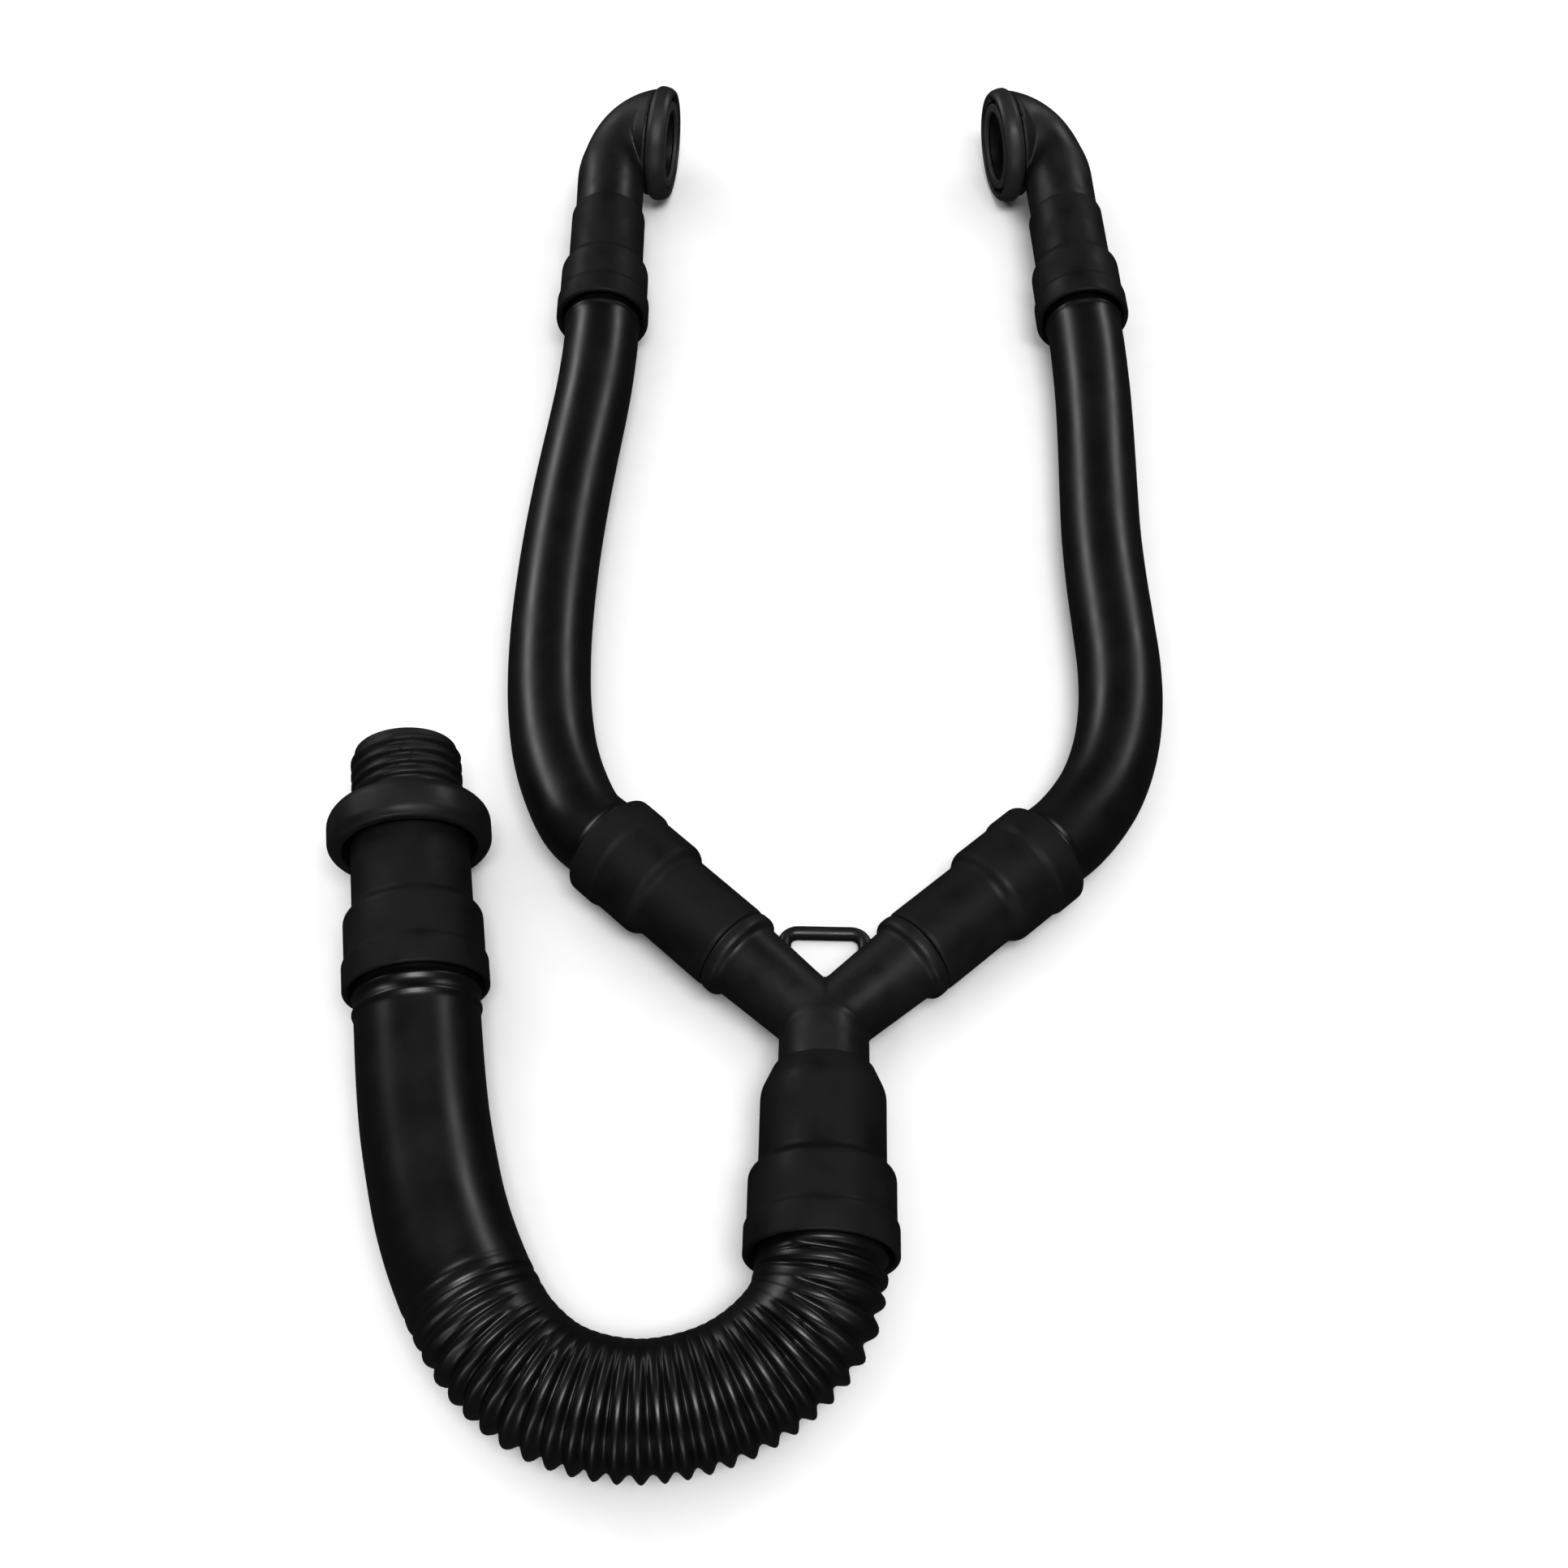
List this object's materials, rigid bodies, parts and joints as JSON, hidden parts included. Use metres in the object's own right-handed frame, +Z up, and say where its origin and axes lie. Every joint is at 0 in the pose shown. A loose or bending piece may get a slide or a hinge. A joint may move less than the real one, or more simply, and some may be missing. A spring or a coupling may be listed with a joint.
{
  "type": "twin-branch breathing hose",
  "caption": "Y-shaped breathing hose with swivelling port elbows, cuffed branch hoses, a Y-piece with a wire bail, and a wide corrugated hose ending in a threaded swivel connector.",
  "frame": {"origin": "on the table, under the middle of the box round the hard parts and cuffs, hoses left out", "axes": "+Z up from the table; +Y from the U-bend towards the port elbows; +X to the right as the connector lies on the left"},
  "size_m": [0.309, 0.617, 0.058],
  "materials": {
    "moulded_plastic": "satin moulded black",
    "cuff_rubber": "matte black",
    "hose_rubber": "shiny black",
    "inner_plastic": "matte dark grey",
    "seal_rubber": "matte black",
    "clip_steel": "plain spring steel",
    "bail_steel": "black coated wire"
  },
  "bodies": {
    "hose": {"y_piece": "moulded_plastic", "upper_cuff_left": "cuff_rubber", "upper_cuff_right": "cuff_rubber", "upper_ferrule_left": "inner_plastic", "upper_ferrule_right": "inner_plastic", "branch_hose_left": "hose_rubber", "branch_hose_right": "hose_rubber", "lower_cuff_left": "cuff_rubber", "lower_cuff_right": "cuff_rubber", "lower_ferrule_left": "inner_plastic", "lower_ferrule_right": "inner_plastic", "main_cuff": "cuff_rubber", "main_ferrule": "inner_plastic", "main_hose": "hose_rubber", "connector_cuff": "cuff_rubber", "connector_ferrule": "inner_plastic", "connector_stem": "inner_plastic", "slip_washer": "inner_plastic"},
    "elbow_left": {"elbow_left": "moulded_plastic", "lock_ring_clip_left": "clip_steel", "face_gasket_left": "seal_rubber"},
    "elbow_right": {"elbow_right": "moulded_plastic", "lock_ring_clip_right": "clip_steel", "face_gasket_right": "seal_rubber"},
    "lock_ring_left": {"lock_ring_left": "moulded_plastic"},
    "lock_ring_right": {"lock_ring_right": "moulded_plastic"},
    "coupling": {"coupling_ring": "moulded_plastic", "thread_seal": "seal_rubber"},
    "bail": {"wire_bail": "bail_steel"}
  },
  "joints": [
    {"name": "elbow_left_swivel", "type": "hinge", "parent": "hose", "child": "elbow_left", "pos_m": [-0.0716, 0.19187, 0.02307], "axis": [0, 0.9988, 0.0488], "range_deg": [-90, 90]},
    {"name": "elbow_right_swivel", "type": "hinge", "parent": "hose", "child": "elbow_right", "pos_m": [0.13254, 0.19195, 0.02307], "axis": [-0.0523, 0.9974, 0.0488], "range_deg": [-90, 90]},
    {"name": "lock_ring_left_turn", "type": "hinge", "parent": "elbow_left", "child": "lock_ring_left", "pos_m": [-0.04467, 0.25048, 0.02594], "axis": [0.9903, -0.1385, -0.0068], "range_deg": [0, 50]},
    {"name": "lock_ring_right_turn", "type": "hinge", "parent": "elbow_right", "child": "lock_ring_right", "pos_m": [0.10258, 0.24907, 0.02594], "axis": [-0.9817, -0.1902, -0.0068], "range_deg": [0, 50]},
    {"name": "coupling_spin", "type": "hinge", "parent": "hose", "child": "coupling", "pos_m": [-0.12576, -0.12109, 0.02923], "axis": [-0.132, 0.989, 0.0663], "continuous": true},
    {"name": "bail_swing", "type": "hinge", "parent": "hose", "child": "bail", "pos_m": [0.02022, -0.18881, 0.00642], "axis": [0.9997, -0.0227, 0], "range_deg": [-150, 3]}
  ]
}
